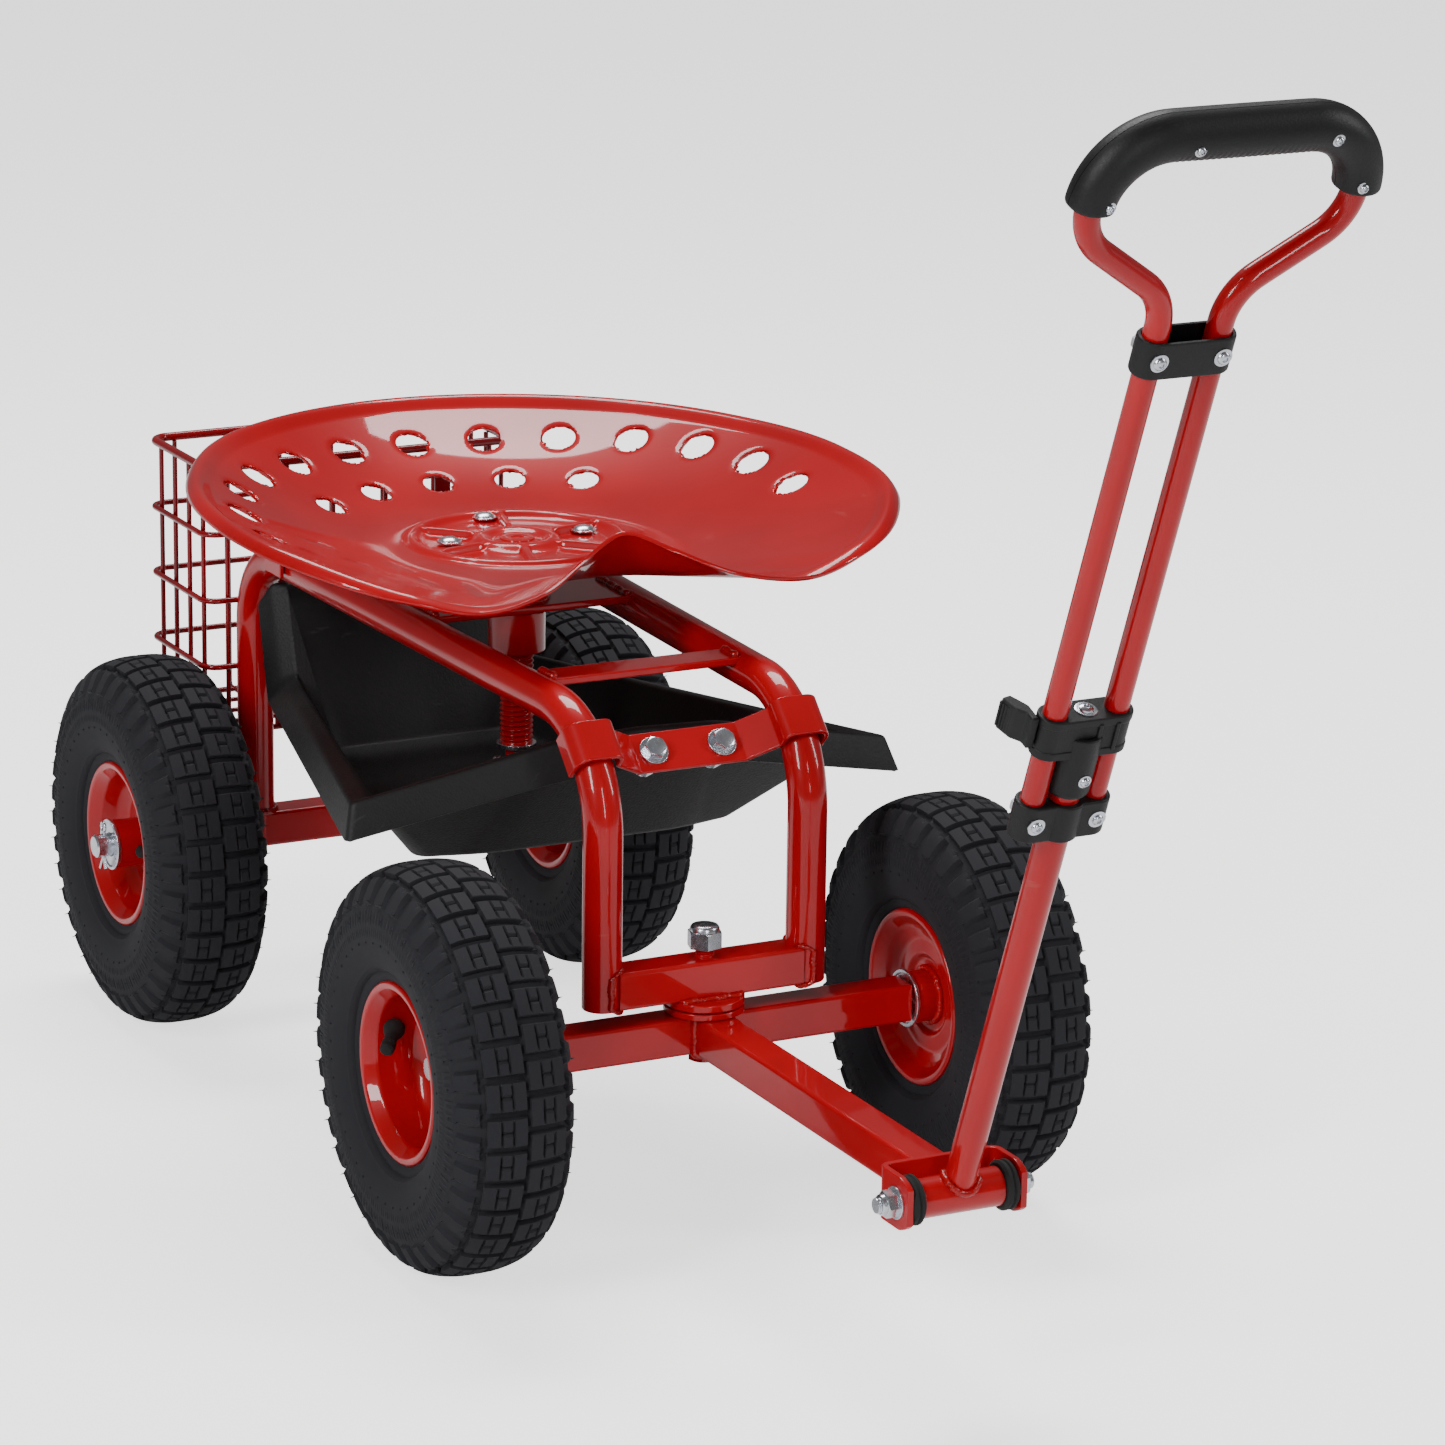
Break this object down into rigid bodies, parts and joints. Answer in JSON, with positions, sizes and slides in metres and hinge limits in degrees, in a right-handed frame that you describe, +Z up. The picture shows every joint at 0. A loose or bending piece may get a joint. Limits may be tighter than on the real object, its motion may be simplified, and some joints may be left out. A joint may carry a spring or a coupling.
{
  "type": "garden cart",
  "caption": "Rolling garden work seat: steered four-wheel frame with pneumatic tyres, screw-lifted pan seat, tool tray, rear wire basket and telescopic pull handle.",
  "frame": {"origin": "on the ground, at the middle of the whole length and width", "axes": "+Z up, -Y towards the pull handle, +X towards the cart's own left-hand wheels seen from behind the handle"},
  "size_m": [0.474, 1.2699, 0.813],
  "materials": {
    "red_paint": "glossy powder coat",
    "dark_red_paint": "glossy dip coat on wire",
    "zinc": "bright zinc plate",
    "black_plastic": "satin moulded",
    "tray_plastic": "fine grained moulded",
    "tyre_rubber": "moulded rubber, semi-gloss",
    "soft_rubber": "matt"
  },
  "bodies": {
    "chassis": {"left_side_tube": "red_paint", "right_side_tube": "red_paint", "front_crossbar": "red_paint", "upper_steering_disc": "red_paint", "rear_axle_beam": "red_paint", "mid_crossbar": "red_paint", "seat_plate": "red_paint", "seat_nut": "red_paint", "front_tray_strap": "red_paint", "rear_tray_strap": "red_paint", "front_left_tray_bolt": "zinc", "front_right_tray_bolt": "zinc", "rear_left_tray_bolt": "zinc", "rear_right_tray_bolt": "zinc", "tool_tray": "tray_plastic", "wire_basket": "dark_red_paint", "rear_left_outer_washer": "zinc", "rear_left_inner_washer": "zinc", "rear_left_cotter_pin": "zinc", "rear_right_outer_washer": "zinc", "rear_right_inner_washer": "zinc", "rear_right_cotter_pin": "zinc"},
    "front_axle": {"front_axle_beam": "red_paint", "lower_steering_disc": "red_paint", "drawbar": "red_paint", "king_pin_bolt": "zinc", "king_pin_nut": "zinc", "drawbar_clevis": "red_paint", "handle_pivot_bolt": "zinc", "handle_pivot_nut": "zinc", "front_left_outer_washer": "zinc", "front_left_inner_washer": "zinc", "front_left_cotter_pin": "zinc", "front_right_outer_washer": "zinc", "front_right_inner_washer": "zinc", "front_right_cotter_pin": "zinc"},
    "front_left_wheel": {"front_left_tyre": "tyre_rubber", "front_left_rim": "red_paint"},
    "front_right_wheel": {"front_right_tyre": "tyre_rubber", "front_right_rim": "red_paint"},
    "rear_left_wheel": {"rear_left_tyre": "tyre_rubber", "rear_left_rim": "red_paint"},
    "rear_right_wheel": {"rear_right_tyre": "tyre_rubber", "rear_right_rim": "red_paint"},
    "handle": {"lower_handle_tube": "red_paint", "left_friction_ring": "soft_rubber", "right_friction_ring": "soft_rubber", "slider_clamp": "black_plastic"},
    "lock_lever": {"lock_lever": "black_plastic"},
    "handle_loop": {"handle_loop": "red_paint", "lower_loop_clamp": "black_plastic", "upper_loop_collar": "black_plastic", "front_grip_half": "black_plastic", "rear_grip_half": "black_plastic"},
    "lift_washer": {"stop_washer": "zinc"},
    "seat": {"seat_pan": "red_paint", "swivel_disc": "red_paint", "seat_screw": "red_paint", "screw_cotter_pin": "zinc"}
  },
  "joints": [
    {"name": "steer", "type": "hinge", "parent": "chassis", "child": "front_axle", "pos_m": [0, -0.0246, 0.15], "axis": [0, 0, 1], "range_deg": [-20, 20]},
    {"name": "front_left_wheel_spin", "type": "hinge", "parent": "front_axle", "child": "front_left_wheel", "pos_m": [-0.1815, -0.0246, 0.13], "axis": [1, 0, 0], "continuous": true},
    {"name": "front_right_wheel_spin", "type": "hinge", "parent": "front_axle", "child": "front_right_wheel", "pos_m": [0.1815, -0.0246, 0.13], "axis": [1, 0, 0], "continuous": true},
    {"name": "rear_left_wheel_spin", "type": "hinge", "parent": "chassis", "child": "rear_left_wheel", "pos_m": [-0.1643, 0.5059, 0.13], "axis": [1, 0, 0], "continuous": true},
    {"name": "rear_right_wheel_spin", "type": "hinge", "parent": "chassis", "child": "rear_right_wheel", "pos_m": [0.1643, 0.5059, 0.13], "axis": [1, 0, 0], "continuous": true},
    {"name": "handle_fold", "type": "hinge", "parent": "front_axle", "child": "handle", "pos_m": [0, -0.3556, 0.131], "axis": [1, 0, 0], "range_deg": [-45, 70]},
    {"name": "handle_extend", "type": "slide", "parent": "handle", "child": "handle_loop", "axis": [0, -0.3697, 0.9291], "range_m": [-0.21, 0]},
    {"name": "lock_lever_open", "type": "hinge", "parent": "handle", "child": "lock_lever", "pos_m": [-0.0322, -0.48243, 0.44431], "axis": [0, -0.3697, 0.9291], "range_deg": [0, 70]},
    {"name": "seat_lift", "type": "slide", "parent": "chassis", "child": "lift_washer", "axis": [0, 0, 1], "range_m": [0, 0.06]},
    {"name": "seat_turn", "type": "hinge", "parent": "lift_washer", "child": "seat", "pos_m": [0, 0.2604, 0.3], "axis": [0, 0, 1], "range_deg": [0, 6120]}
  ],
  "couplings": [
    {"joint": "seat_lift", "follows": "seat_turn", "m_per_rad": 0.00055704}
  ]
}
